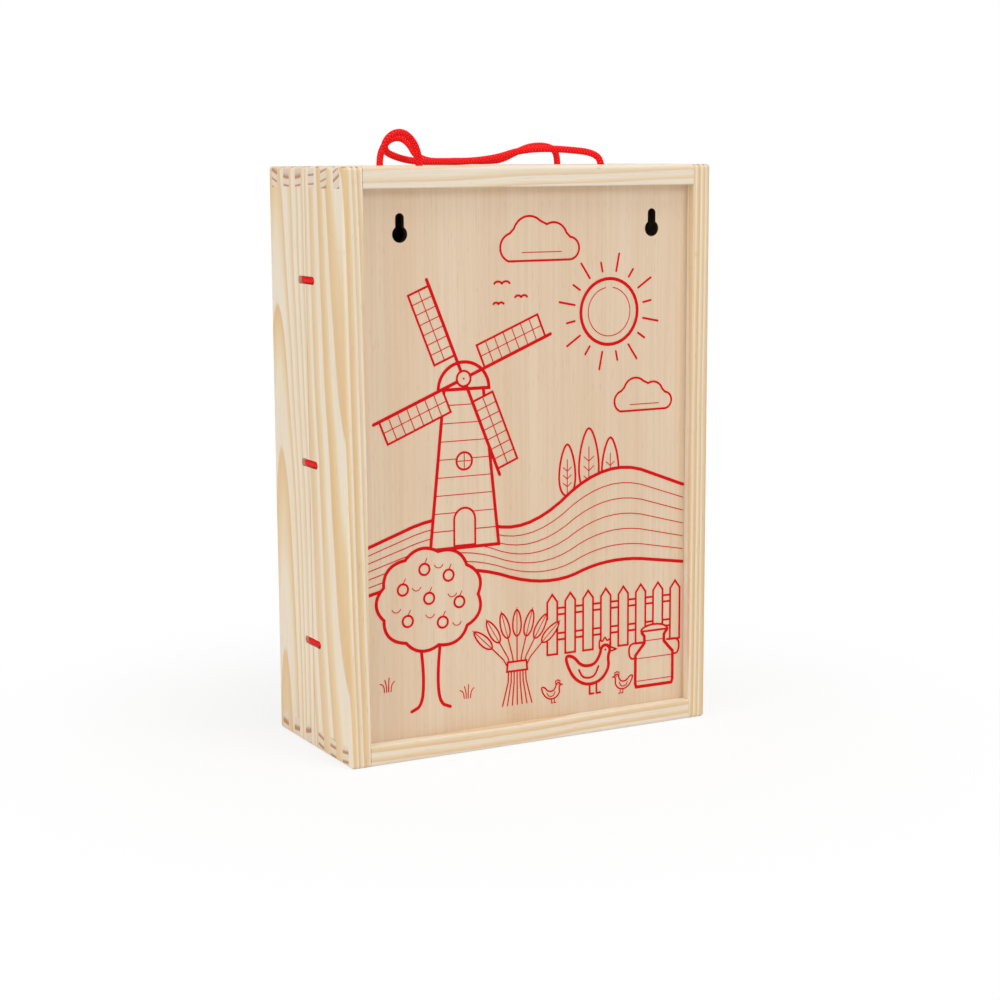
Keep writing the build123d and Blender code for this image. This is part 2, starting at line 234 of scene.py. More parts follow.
saw("rear_side_left", heart=(-0.007, -0.042), ring_width=0.0034, late=0.54,
    drift=0.004, taper=-0.024, seed=3.1)
saw("rear_side_right", heart=(0.020, -0.055), ring_width=0.0040, late=0.55,
    drift=-0.010, taper=0.010, seed=7.7)
saw("rear_top_board", heart=(0.002, 0.386), ring_width=0.0045, late=0.30,
    drift=0.010, taper=0.010, seed=1.3, pale=0.28)
saw("rear_bottom_board", heart=(-0.023, 0.111), ring_width=0.0043, late=0.34,
    drift=0.008, taper=-0.006, seed=2.9, pale=0.1)
saw("front_side_left", heart=(-0.043, 0.043), ring_width=0.0023, late=0.30,
    drift=0.006, taper=0.020, seed=9.4)
saw("front_side_right", heart=(0.030, 0.050), ring_width=0.0040, late=0.42,
    drift=0.010, taper=-0.012, seed=2.6)
saw("front_top_board", heart=(0.017, 0.381), ring_width=0.0058, late=0.36,
    drift=-0.005, taper=0.010, seed=6.8)
saw("front_bottom_board", heart=(0.032, 0.101), ring_width=0.0100, late=0.54,
    drift=0.007, taper=0.006, seed=0.4)


# Panels let into both frames: thin birch plywood, smooth and evenly tan, with short fine pores
# along its upright grain. Each is tongued into a groove all round, and its keyholes are cut by
# laser, which leaves their edges burnt dark.
def spread(tree, place, scale=(1.0, 1.0, 1.0), shift=(0.0, 0.0, 0.0)):
    """A place scaled and moved, so that a pattern is stretched or taken from another spot."""
    return add_node(tree, "ShaderNodeMapping", {
        "Vector": place, "Scale": scale, "Location": shift}).outputs[0]


def plywood(name, seed):
    """Birch veneer with upright grain, burnt where the panel's edges and keyholes are cut."""
    tan = linear(229, 207, 180)
    rosy = linear(224, 196, 166)
    pore_brown = linear(203, 172, 138)
    burnt = linear(46, 28, 18)
    relief_depth = 0.0001
    material = new_material(name)
    tree = material.node_tree
    surface = add_node(tree, "ShaderNodeTexCoord").outputs

    def grain(across, along, detail):
        place = spread(tree, surface["Object"], (across, across, along), (seed, 0.0, seed))
        return noise(tree, place, detail=detail, roughness=0.55)

    clouds = ramp(tree, grain(45.0, 2.5, 4.0), [(0.32, 0.0), (0.68, 1.0)])
    fibres = grain(700.0, 8.0, 2.0)
    streaks = ramp(tree, fibres, [(0.38, 0.2), (0.6, 0.0)])
    pores = ramp(tree, grain(1500.0, 150.0, 0.0), [(0.70, 0.0), (0.80, 0.35)])
    clouded = blend_colours(tree, clouds, tan, rosy)
    streaked = blend_colours(tree, streaks, clouded, pore_brown)
    veneer = blend_colours(tree, pores, streaked, pore_brown)
    facing = add_node(tree, "ShaderNodeSeparateXYZ", {0: surface["Normal"]}).outputs[1]
    on_edge = ramp(tree, calculate(tree, "ABSOLUTE", facing), [(0.5, 1.0), (0.7, 0.0)])
    set_shader(tree, {
        "Base Color": blend_colours(tree, on_edge, veneer, burnt),
        "Normal": bump(tree, fibres, 0.15, relief_depth),
        "Roughness": 0.6, "Specular IOR Level": 0.3})
    return material


finish_node("rear_panel", plywood("birch_plywood_rear", seed=2.0))
finish_node("front_panel", plywood("birch_plywood_front", seed=8.0))


# Pictures printed on the outside of both panels: a windmill farm, and an orchard, drawn in one
# bright red ink in bold outlines and fine hatching. The ink lies on the wood as a thin film, and
# whatever stands in front hides the lines behind it.
millimetre = 0.001

# The pictures' side edges, and a line beyond them, from the panel's middle in millimetres
bare_margin = 1.1
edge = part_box("rear_side_right")[0].x / millimetre - bare_margin
past_edge = edge + 1.6

# Widths of the inked lines, and how far apart their points lie, in millimetres
bold = 1.7
firm = 1.1
fine = 0.45
point_spacing = 0.8


def place_on_piece(tree):
    """A place on the piece itself, in metres, so that a pattern moves with it."""
    return add_node(tree, "ShaderNodeTexCoord").outputs["Object"]


red_ink = new_material("red_ink")
tree = red_ink.node_tree
speckle = noise(tree, place_on_piece(tree), scale=700.0)
set_shader(tree, {
    "Base Color": ramp(tree, speckle, [(0.3, linear(205, 4, 12)), (0.7, linear(221, 6, 14))]),
    "Roughness": 0.6, "Specular IOR Level": 0.12})


def ring(middle, radius, start=0.0, end=360.0, flatten=1.0, steps=40):
    """Points round a circle or part of one, anticlockwise from the start angle, in degrees."""
    count = steps if abs(end - start) >= 360.0 else steps + 1
    turns = [math.radians(start + (end - start) * step / steps) for step in range(count)]
    return [(middle[0] + radius * math.cos(turn), middle[1] + flatten * radius * math.sin(turn))
            for turn in turns]


def soften(points, closed=False, rounds=3):
    """Rounds a line's corners by cutting them off again and again."""
    for _ in range(rounds):
        pairs = list(zip(points, points[1:] + points[:1] if closed else points[1:]))
        cut = []
        for (u, v), (next_u, next_v) in pairs:
            cut += [(0.75 * u + 0.25 * next_u, 0.75 * v + 0.25 * next_v),
                    (0.25 * u + 0.75 * next_u, 0.25 * v + 0.75 * next_v)]
        points = cut if closed else [points[0], *cut, points[-1]]
    return points


def inside(point, outline):
    """Whether a point lies inside a closed outline."""
    u, v = point
    crossings = 0
    for (from_u, from_v), (to_u, to_v) in zip(outline, outline[1:] + outline[:1]):
        if (from_v > v) != (to_v > v) and u < from_u + (v - from_v) * (to_u - from_u) / (to_v - from_v):
            crossings += 1
    return crossings % 2 == 1


def motif(u, v, size):
    """Gives places on a motif of that size whose foot, or middle, is at u and v."""
    def at(a, b):
        return (u + a * size, v + b * size)
    return at


class Drawing:
    """A picture as inked lines, in millimetres across the panel and up from the case's foot."""

    def __init__(self):
        self.lines = []

    def line(self, points, width=bold):
        """An inked line, with enough points along it to be hidden in part."""
        dense = [points[0]]
        for start, end in zip(points, points[1:]):
            pieces = max(1, round(math.dist(start, end) / point_spacing))
            dense += [(start[0] + (end[0] - start[0]) * step / pieces,
                       start[1] + (end[1] - start[1]) * step / pieces) for step in range(1, pieces + 1)]
        self.lines.append((dense, width))

    def hide(self, outline):
        """Takes away what was drawn inside a closed outline."""
        kept = []
        for points, width in self.lines:
            for hidden, run in groupby(points, key=lambda point: inside(point, outline)):
                run = list(run)
                if not hidden and len(run) > 1:
                    kept.append((run, width))
        self.lines = kept

    def shape(self, outline, width=bold):
        """A closed outline that hides what was drawn behind it."""
        self.hide(outline)
        self.line(outline + outline[:1], width)

    def dot(self, place, size):
        """A line too short to see, whose round ends make a dot."""
        shortest = 0.02
        self.lines.append(([place, (place[0] + shortest, place[1])], size))

    def sun(self, u, v, radius):
        rays = 16
        foot = 1.24
        short_tip = 1.52
        long_tip = 1.78
        at = motif(u, v, radius)
        for ray in range(rays):
            turn = 2 * math.pi * (ray + 0.5) / rays
            tip = long_tip if ray % 2 else short_tip
            self.line([at(reach * math.cos(turn), reach * math.sin(turn)) for reach in (foot, tip)], firm)
        self.shape(ring((u, v), radius))
        self.line(ring((u, v), 0.74 * radius, 100.0, 440.0), fine)

    def cloud(self, u, v, width):
        at = motif(u, v, width)
        puffs = ((-0.30, 0.12, 0.14, 250.0, 105.0), (-0.12, 0.24, 0.18, 160.0, 48.0),
                 (0.15, 0.2, 0.155, 118.0, 20.0), (0.33, 0.1, 0.11, 85.0, -90.0))
        outline = []
        for a, b, radius, start, end in puffs:
            outline += ring(at(a, b), radius * width, start, end, steps=16)
        self.shape(outline, firm)
        self.line([at(-0.2, 0.07), at(0.24, 0.07)], fine)

    def bird(self, u, v, span):
        wings = []
        for side in (-1, 1):
            wings += ring((u + side * span / 4, v), span / 4, 160.0, 20.0, 0.7, 10)
        self.line(wings, firm)

    def fields(self, upper, lower, rows):
        """A hill with its line along the top and ploughed rows down to a lower line."""
        upper, lower = soften(upper), soften(lower)
        self.hide(upper + [(past_edge, 0.0), (-past_edge, 0.0)])
        self.line(upper)
        for row in range(1, rows):
            share = row / rows
            self.line([((1 - share) * a + share * c, (1 - share) * b + share * d)
                       for (a, b), (c, d) in zip(upper, lower)], fine)

    def windmill(self, u, v, size):
        foot = 15.0
        neck = 8.5
        tall = 62.0
        plank = 7.0
        plank_lines = 8
        door = 4.6
        door_sill = 0.8
        door_arch = 11.0
        window = 34.0
        pane = 3.4
        cap = 11.0
        hub = 66.0
        boss = 3.0
        stock_start = 2.5
        stock_end = 41.5
        sail_tilt = 22.0
        sail_start = 10.0
        sail_end = 39.0
        sail_width = 9.5
        batten = 4.8
        slats = 7
        at = motif(u, v, size)
        self.shape([at(-foot, 0.0), at(-neck, tall), at(neck, tall), at(foot, 0.0)])
        for number in range(1, plank_lines + 1):
            rise = plank * number
            half = foot - (foot - neck) * rise / tall
            self.line([at(-half, rise), at(half, rise)], fine)
        arch = ring(at(0.0, door_arch), door * size, 180.0, 0.0, steps=12)
        self.shape([at(-door, door_sill), *arch, at(door, door_sill)], firm)
        self.shape(ring(at(0.0, window), pane * size, steps=24), firm)
        self.line([at(-pane, window), at(pane, window)], fine)
        self.line([at(0.0, window - pane), at(0.0, window + pane)], fine)
        self.shape(ring(at(0.0, tall), cap * size, 180.0, 0.0, 0.95, 24))
        for sail in range(4):
            turn = math.radians(sail_tilt + 90.0 * sail)
            out, over = (math.cos(turn), math.sin(turn)), (-math.sin(turn), math.cos(turn))

            def spot(reach, beside):
                return at(reach * out[0] + beside * over[0], hub + reach * out[1] + beside * over[1])

            self.shape([spot(sail_start, 0.0), spot(sail_end, 0.0),
                        spot(sail_end, sail_width), spot(sail_start, sail_width)], firm)
            self.line([spot(stock_start, 0.0), spot(stock_end, 0.0)])
            self.line([spot(sail_start, batten), spot(sail_end, batten)], fine)
            for slat in range(1, slats):
                reach = sail_start + slat * (sail_end - sail_start) / slats
                self.line([spot(reach, 0.0), spot(reach, sail_width)], fine)
        self.shape(ring(at(0.0, hub), boss * size, steps=24), firm)
        self.dot(at(0.0, hub), firm)

    def poplar(self, u, v, height):
        at = motif(u, v, height)
        crown = [(0.0, 1.0), (0.1, 0.8), (0.15, 0.5), (0.13, 0.28), (0.05, 0.16),
                 (-0.05, 0.16), (-0.13, 0.28), (-0.15, 0.5), (-0.1, 0.8)]
        self.line([at(0.0, 0.0), at(0.0, 0.3)], firm)
        self.shape(soften([at(a, b) for a, b in crown], closed=True), firm)
        self.line([at(0.0, 0.02), at(0.0, 0.72)], fine)
        for fork in (0.3, 0.42, 0.54):
            self.line([at(-0.07, fork + 0.06), at(0.0, fork), at(0.07, fork + 0.06)], fine)

    def apple_tree(self, u, v, height):
        at = motif(u, v, height)
        for side in (-1, 1):
            self.line(soften([at(side * 0.13, 0.0), at(side * 0.06, 0.03),
                              at(side * 0.045, 0.2), at(side * 0.07, 0.45)]))
        radius = 0.3 * height
        crown = motif(*at(0.0, 0.68), radius)
        steps = 144
        leaves = []
        for step in range(steps):
            turn = 2 * math.pi * step / steps
            reach = 0.97 + 0.09 * abs(math.sin(4.5 * turn))
            leaves.append(crown(1.12 * reach * math.cos(turn), reach * math.sin(turn)))
        self.shape(leaves)
        apples = ((-0.6, 0.25), (-0.12, 0.62), (0.42, 0.45), (0.66, -0.12), (-0.02, 0.02),
                  (-0.5, -0.4), (0.28, -0.5))
        for a, b in apples:
            self.shape(ring(crown(a, b), 0.115 * radius, steps=16), firm)
            self.line([crown(a, b + 0.11), crown(a + 0.06, b + 0.22)], fine)
        tufts = ((-0.3, 0.3), (0.2, 0.72), (0.5, 0.1), (-0.75, -0.1), (0.0, -0.28), (0.6, -0.5))
        for a, b in tufts:
            self.line(ring(crown(a, b), 0.1 * radius, 200.0, 340.0, steps=8), fine)

    def pickets(self, left, right, v, height):
        usual_pitch = 11.0
        half = 3.0
        point = 4.0
        rail = 3.4
        overhang = 2.0
        count = round((right - left) / usual_pitch)
        pitch = (right - left) / count
        for share in (0.24, 0.66):
            foot = v + share * height
            self.shape([(left - overhang, foot), (right + overhang, foot),
                        (right + overhang, foot + rail), (left - overhang, foot + rail)], firm)
        for step in range(count + 1):
            u = left + step * pitch
            self.shape([(u - half, v), (u + half, v), (u + half, v + height - point),
                        (u, v + height), (u - half, v + height - point)], firm)

    def hen(self, u, v, size, facing=1):
        """A hen, or her chick in a thinner line where the size is small."""
        chick_size = 9.0
        chick_line = 0.8
        ink = bold if size > chick_size else chick_line
        comb = [(0.3, 1.5), (0.32, 1.96), (0.44, 1.8), (0.54, 2.02), (0.63, 1.82), (0.78, 1.94),
                (0.72, 1.5)]
        beak = [(0.66, 1.66), (1.02, 1.5), (0.66, 1.42)]
        body = [(-1.0, 1.15), (-0.72, 0.62), (-0.2, 0.32), (0.38, 0.42), (0.72, 0.86), (0.66, 1.3),
                (0.78, 1.52), (0.62, 1.72), (0.4, 1.66), (0.34, 1.36), (0.1, 1.02), (-0.42, 1.04),
                (-0.72, 1.42), (-1.06, 1.5)]
        wing = [(0.28, 0.96), (0.1, 0.58), (-0.36, 0.6), (-0.52, 0.92)]
        eye = [(0.56, 1.53)]

        def traced(places):
            return [(u + facing * a * size, v + b * size) for a, b in places]

        for leg in (-0.08, 0.2):
            self.line(traced([(leg, 0.4), (leg, 0.0), (leg + 0.16, 0.0)]), 0.65 * ink)
        self.shape(soften(traced(comb), closed=True, rounds=2), 0.55 * ink)
        self.shape(traced(beak), 0.55 * ink)
        self.shape(soften(traced(body), closed=True), ink)
        self.line(soften(traced(wing)), 0.65 * ink)
        self.dot(traced(eye)[0], 0.7 * ink)

    def sheaf(self, u, v, height):
        """Bound wheat: stalks and ears fanned out from the band, over whatever stands behind them."""
        at = motif(u, v, height)
        fan = 0.27
        stem_line = 0.7
        ear_line = 0.9
        ear = ((0.3, 0.0), (0.38, 0.052), (0.52, 0.046), (0.62, 0.0), (0.52, -0.046), (0.38, -0.052))
        self.hide([at(-0.2, 0.0), at(-0.1, 0.4), at(-0.42, 0.74), at(-0.3, 0.98), at(0.0, 1.06),
                   at(0.3, 0.98), at(0.42, 0.74), at(0.1, 0.4), at(0.2, 0.0)])
        for stalk in range(-3, 4):
            turn = fan * stalk
            out, over = (math.sin(turn), math.cos(turn)), (math.cos(turn), -math.sin(turn))

            def spot(reach, beside):
                return at(0.022 * stalk + reach * out[0] + beside * over[0],
                          0.41 + reach * out[1] + beside * over[1])

            stem = [at(0.058 * stalk, 0.0), at(0.022 * stalk, 0.4), spot(0.34, 0.0)]
            self.line(soften(stem, rounds=2), stem_line)
            grains = [spot(reach, beside) for reach, beside in ear]
            self.shape(soften(grains, closed=True, rounds=2), ear_line)
            self.line([spot(0.33, 0.0), spot(0.62, 0.0)], fine)
        self.shape([at(-0.12, 0.36), at(0.12, 0.36), at(0.11, 0.46), at(-0.11, 0.46)], firm)

    def churn(self, u, v, size):
        at = motif(u, v, size)
        for side in (-1, 1):
            self.line(soften([at(side * 0.26, 0.78), at(side * 0.52, 0.78),
                              at(side * 0.5, 0.5), at(side * 0.34, 0.52)]), firm)
        half = [(0.36, 0.0), (0.38, 0.06), (0.38, 0.56), (0.2, 0.76), (0.2, 0.88), (0.27, 0.97)]
        self.shape([at(a, b) for a, b in half] + [at(-a, b) for a, b in reversed(half)])
        lid = ring(at(0.0, 0.97), 0.27 * size, 0.0, 180.0, 0.4, 12)
        self.shape([at(-0.27, 0.97), at(0.27, 0.97), *lid], firm)
        for hoop in (0.1, 0.5):
            self.line([at(-0.38, hoop), at(0.38, hoop)], fine)
        self.line([at(-0.2, 0.8), at(0.2, 0.8)], fine)

    def grass(self, u, v):
        blade_line = 0.55
        for lean in (-4.4, -1.8, 0.6, 3.6):
            tip = (u + lean, v + 7.6 - 0.7 * abs(lean))
            blade = [(u + 0.45 * lean, v), (u + 0.55 * lean, v + 3.6), tip]
            self.line(soften(blade, rounds=2), blade_line)


def line_edges(corners, closed, width):
    """Points along the left and the right edge of an inked line."""
    shortest_run = 1e-6
    sharpest = 0.5
    left_edge, right_edge = [], []
    for step, point in enumerate(corners):
        before = corners[step - 1] if closed or step else point
        after = corners[(step + 1) % len(corners)] if closed or step < len(corners) - 1 else point
        runs = []
        for start, end in ((before, point), (point, after)):
            length = math.dist(start, end)
            if length > shortest_run:
                runs.append(((end[0] - start[0]) / length, (end[1] - start[1]) / length))
        along = (sum(run[0] for run in runs), sum(run[1] for run in runs))
        size = math.hypot(*along) or 1.0
        normal = (-along[1] / size, along[0] / size)
        straightness = max(sharpest, abs(normal[0] * -runs[0][1] + normal[1] * runs[0][0]))
        offset = width / 2 / straightness
        left_edge.append((point[0] + normal[0] * offset, point[1] + normal[1] * offset))
        right_edge.append((point[0] - normal[0] * offset, point[1] - normal[1] * offset))
    return left_edge, right_edge


def add_object(name, data):
    """Puts a mesh, a curve, a camera or a lamp in the scene."""
    added = bpy.data.objects.new(name, data)
    bpy.context.scene.collection.objects.link(added)
    return added


def print_on_panel(name, drawing, panel, body, side):
    """Lays a drawing's lines on a panel's outer face as ink, and fixes it to the panel's half.
    Lines lie at slightly different levels, so that none flickers where two cross."""
    film_thickness = 0.06 * millimetre
    lowest_level = 0.04 * millimetre
    level_step = 0.0012 * millimetre
    levels = 60
    touching = 0.01
    tip_steps = 5
    low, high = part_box(panel)
    face = low.y if side < 0 else high.y
    film = bmesh.new()
    for number, (points, width) in enumerate(drawing.lines):
        level = face + side * (lowest_level + level_step * (number % levels))
        closed = math.dist(points[0], points[-1]) < touching
        corners = points[:-1] if closed else points
        left_edge, right_edge = line_edges(corners, closed, width)

        def corner(place):
            return film.verts.new((-side * place[0] * millimetre, level, place[1] * millimetre))

        lefts = [corner(place) for place in left_edge]
        rights = [corner(place) for place in right_edge]
        count = len(corners) if closed else len(corners) - 1
        for step in range(count):
            following = (step + 1) % len(corners)
            film.faces.new((lefts[step], rights[step], rights[following], lefts[following]))
        if not closed:
            for tip, heading in ((0, -1), (-1, 1)):
                middle = corners[tip]
                start = math.atan2(left_edge[tip][1] - middle[1], left_edge[tip][0] - middle[0])
                dome = [lefts[tip]]
                for step in range(1, tip_steps):
                    turn = start - heading * math.pi * step / tip_steps
                    dome.append(corner((middle[0] + width / 2 * math.cos(turn),
                                        middle[1] + width / 2 * math.sin(turn))))
                dome.append(rights[tip])
                film.faces.new(dome if heading < 0 else dome[::-1])
    mesh = bpy.data.meshes.new(name)
    film.to_mesh(mesh)
    film.free()
    mesh.materials.append(red_ink)
    print_film = add_object(name, mesh)
    bpy.context.view_layer.objects.active = print_film
    thickness = print_film.modifiers.new("thickness", "SOLIDIFY")
    thickness.thickness = film_thickness
    thickness.offset = 0.0
    bpy.ops.object.modifier_apply(modifier=thickness.name)
    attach(print_film, body)


meadow = [(-edge, 22.0), (-40.0, 20.0), (10.0, 20.0), (48.0, 21.0), (edge, 20.0)]

windmill_farm = Drawing()
windmill_farm.sun(47.0, 222.0, 17.0)
windmill_farm.cloud(6.0, 250.0, 52.0)
windmill_farm.cloud(68.0, 170.0, 40.0)
windmill_farm.bird(-16.0, 238.0, 9.0)
windmill_farm.bird(-5.0, 231.0, 7.0)
windmill_farm.bird(-18.0, 228.0, 6.0)
far_hill = [(-edge, 110.0), (-46.0, 126.0), (-4.0, 108.0), (46.0, 146.0), (edge, 128.0)]
near_hill = [(-edge, 86.0), (-40.0, 98.0), (10.0, 80.0), (48.0, 93.0), (edge, 86.0)]
for u, height in ((22.0, 34.0), (35.0, 42.0), (48.0, 36.0)):
    windmill_farm.poplar(u, 122.0, height)
windmill_farm.fields(far_hill, near_hill, rows=6)
windmill_farm.windmill(-38.0, 106.0, 1.3)
windmill_farm.fields(near_hill, meadow, rows=1)
windmill_farm.pickets(13.0, 89.0, 44.0, 32.0)
windmill_farm.apple_tree(-58.0, 24.0, 84.0)
windmill_farm.sheaf(-8.0, 20.0, 50.0)
windmill_farm.churn(76.0, 20.0, 31.0)
windmill_farm.hen(37.0, 20.0, 15.0)
for u, facing in ((13.0, 1), (56.0, -1)):
    windmill_farm.hen(u, 18.0, 6.2, facing=facing)
for u, v in ((-82.0, 36.0), (-37.0, 27.0)):
    windmill_farm.grass(u, v)
print_on_panel("rear_panel_print", windmill_farm, "rear_panel", "rear_half", side=-1)

orchard = Drawing()
orchard.sun(-46.0, 226.0, 17.0)
orchard.cloud(22.0, 240.0, 60.0)
orchard.cloud(-6.0, 194.0, 38.0)
orchard.bird(48.0, 212.0, 9.0)
orchard.bird(60.0, 204.0, 7.0)
high_ridge = [(-edge, 150.0), (-40.0, 166.0), (10.0, 140.0), (50.0, 158.0), (edge, 142.0)]
low_ridge = [(-edge, 92.0), (-40.0, 84.0), (10.0, 100.0), (50.0, 92.0), (edge, 104.0)]
for u, height in ((-76.0, 32.0), (-63.0, 37.0), (-50.0, 34.0), (-37.0, 30.0)):
    orchard.poplar(u, 148.0, height)
orchard.fields(high_ridge, low_ridge, rows=9)
orchard.apple_tree(-20.0, 96.0, 62.0)
orchard.apple_tree(62.0, 104.0, 58.0)
orchard.fields(low_ridge, meadow, rows=1)
orchard.pickets(-88.0, 14.0, 46.0, 32.0)
orchard.apple_tree(40.0, 32.0, 104.0)
orchard.churn(-10.0, 22.0, 32.0)
orchard.hen(-52.0, 22.0, 15.0, facing=-1)
orchard.hen(-31.0, 20.0, 6.2)
orchard.sheaf(73.0, 20.0, 46.0)
for u, v in ((-82.0, 30.0), (16.0, 26.0), (84.0, 84.0)):
    orchard.grass(u, v)
print_on_panel("front_panel_print", orchard, "front_panel", "front_half", side=1)


# Loft shelves: one sanded pine board in each half, sawn from the same wood as the frame. Its ends
# are slid into housings in the side boards, and the upper row of play pieces stands on it.
saw("rear_loft_shelf", heart=(-0.030, 0.120), ring_width=0.0046, late=0.36,
    drift=0.008, taper=0.012, seed=6.1)
saw("front_loft_shelf", heart=(0.055, 0.115), ring_width=0.0050, late=0.34,
    drift=-0.006, taper=0.010, seed=8.7)


# Magnets let into the seam edges opposite the hinges: small nickel-plated discs, lathe-turned,
# with a soft brushed face. They hold the case shut.
nickel = new_material("nickel_plate")
tree = nickel.node_tree
marks = noise(tree, place_on_piece(tree), scale=900.0, detail=3.0)
set_shader(tree, {
    "Base Color": ramp(tree, marks, [(0.3, linear(176, 174, 168)), (0.7, linear(206, 204, 198))]),
    "Roughness": ramp(tree, marks, [(0.3, 0.22), (0.7, 0.36)]), "Metallic": 1.0})
finish_node("rear_magnets", nickel)
finish_node("front_magnets", nickel)


# Cord hinges: three short lengths of braided red polyester cord, each laid in a milled groove
# across the seam, threaded through both side boards and knotted inside the case.
cord_radius = 1.78 * millimetre
braid_relief = 0.26 * millimetre
braid_pitch = 6.2 * millimetre
strands = 8
# The cord's own red; a deep red painted as shade in the hollows between strands and used for dark flecks in
# the yarn; and a pale red painted as a highlight on the strands' crowns
rope_red = linear(248, 7, 14)
valley_shade_and_fleck_red = linear(158, 0, 4)
painted_highlight_red = linear(255, 88, 84)

red_rope = new_material("red_braided_cord")
tree = red_rope.node_tree
strand_height = add_node(tree, "ShaderNodeAttribute", attribute_name="strand_height").outputs["Fac"]
lay = spread(tree, add_node(tree, "ShaderNodeTexCoord").outputs["UV"], (160.0, 220.0, 1.0))
yarn = noise(tree, lay)
# Painted shade and highlight: deep red where the strands sink lowest, the cord's red on their flanks, pale
# red on their highest crowns, on top of the braid's real relief
braid = ramp(tree, strand_height, [(0.0, valley_shade_and_fleck_red), (0.55, rope_red), (0.92, rope_red), (1.0, painted_highlight_red)])
set_shader(tree, {
    "Base Color": blend_colours(tree, ramp(tree, yarn, [(0.4, 0.2), (0.6, 0.0)]), braid, valley_shade_and_fleck_red),
    "Normal": bump(tree, yarn, 0.3, 0.1 * millimetre),
    "Roughness": 0.62, "Specular IOR Level": 0.08})


def cord_route(name, points):
    """Points along a smooth curve whose control points are given, in metres."""
    curve = bpy.data.curves.new(name, "CURVE")
    curve.dimensions = "3D"
    curve.resolution_u = 36
    spline = curve.splines.new("NURBS")
    spline.points.add(len(points) - 1)
    for control, place in zip(spline.points, points):
        control.co = (*place, 1.0)
    spline.order_u = 3
    spline.use_endpoint_u = True
    guide = add_object(name, curve)
    bpy.context.view_layer.update()
    seen_curve = guide.evaluated_get(bpy.context.evaluated_depsgraph_get())
    line = bpy.data.meshes.new_from_object(seen_curve)
    route = [vertex.co.copy() for vertex in line.vertices]
    bpy.data.meshes.remove(line)
    bpy.data.objects.remove(guide)
    return route


def even_route(route, spacing, closed=False):
    """The same line with its points set evenly along it."""
    points = route + route[:1] if closed else route
    reaches = [0.0]
    for start, end in zip(points, points[1:]):
        reaches.append(reaches[-1] + (end - start).length)
    count = max(2, round(reaches[-1] / spacing))
    even, at = [], 0
    for step in range(count if closed else count + 1):
        wanted = reaches[-1] * step / count
        while at < len(reaches) - 2 and reaches[at + 1] < wanted:
            at += 1
        share = (wanted - reaches[at]) / max(1e-12, reaches[at + 1] - reaches[at])
        even.append(points[at].lerp(points[at + 1], min(1.0, share)))
    return even


def steady_outs(headings):
    """A direction out of the cord at each of its points, turned as little as its bends allow."""
    out = headings[0].orthogonal().normalized()
    outs = [out]
    for before, heading in zip(headings, headings[1:]):
        out = before.rotation_difference(heading) @ out
        out = (out - heading * out.dot(heading)).normalized()
        outs.append(out)
    return outs


def braid_height(turn, along):
    """How high the uppermost strand stands at a place round and along the cord, from 0 to 1. Half
    of the strands wind right and half left, and they pass over each other in turn."""
    right_hand = strands / 2 * turn / (2 * math.pi) + along / braid_pitch * strands / 2
    left_hand = strands / 2 * turn / (2 * math.pi) - along / braid_pitch * strands / 2
    over_right = (math.floor(right_hand) + math.floor(left_hand)) % 2 == 0
    crown = right_hand if over_right else left_hand
    return math.sqrt(max(0.0, 1.0 - (2.0 * (crown % 1.0) - 1.0) ** 2))


def braided_tube(name, route, radius, closed=False, sides=32, spacing=0.28 * millimetre):
    """A braided cord along a route, whose strands stand up to the given radius."""
    line = even_route(route, spacing, closed)
    count = len(line)
    ahead = [(line[(step + 1) % count] if closed or step < count - 1 else line[step])
             - (line[step - 1] if closed or step else line[step]) for step in range(count)]
    headings = [vector.normalized() for vector in ahead]
    outs = steady_outs(headings)
    turn_back = 0.0
    if closed:
        last = headings[-1].rotation_difference(headings[0]) @ outs[-1]
        turn_back = math.atan2(last.cross(outs[0]).dot(headings[0]), last.dot(outs[0]))
    tube = bmesh.new()
    lie = tube.loops.layers.uv.new("cord")
    height_of = tube.verts.layers.float.new("strand_height")
    rings = []
    along = 0.0
    for step, (point, heading, outward) in enumerate(zip(line, headings, outs)):
        if step:
            along += (point - line[step - 1]).length
        beside = heading.cross(outward)
        ring_of_points = []
        for number in range(sides):
            turn = 2 * math.pi * number / sides + turn_back * step / count
            height = braid_height(turn, along)
            direction = outward * math.cos(turn) + beside * math.sin(turn)
            vertex = tube.verts.new(point + direction * (radius - braid_relief * (1.0 - height)))
            vertex[height_of] = height
            ring_of_points.append(vertex)
        rings.append((ring_of_points, along))
    for step in range(count if closed else count - 1):
        (low, low_along), (high, high_along) = rings[step], rings[(step + 1) % count]
        for number in range(sides):
            following = (number + 1) % sides
            face = tube.faces.new((low[number], low[following], high[following], high[number]))
            face.smooth = True
            places = ((low_along, number), (low_along, number + 1),
                      (high_along, number + 1), (high_along, number))
            for loop, place in zip(face.loops, places):
                loop[lie].uv = (place[0] / (2 * math.pi * radius), place[1] / sides)
    if not closed:
        for (ends, _), back in ((rings[0], True), (rings[-1], False)):
            tube.faces.new(ends[::-1] if back else ends)
    bmesh.ops.recalc_face_normals(tube, faces=tube.faces)
    mesh = bpy.data.meshes.new(name)
    tube.to_mesh(mesh)
    tube.free()
    mesh.materials.append(red_rope)
    return add_object(name, mesh)


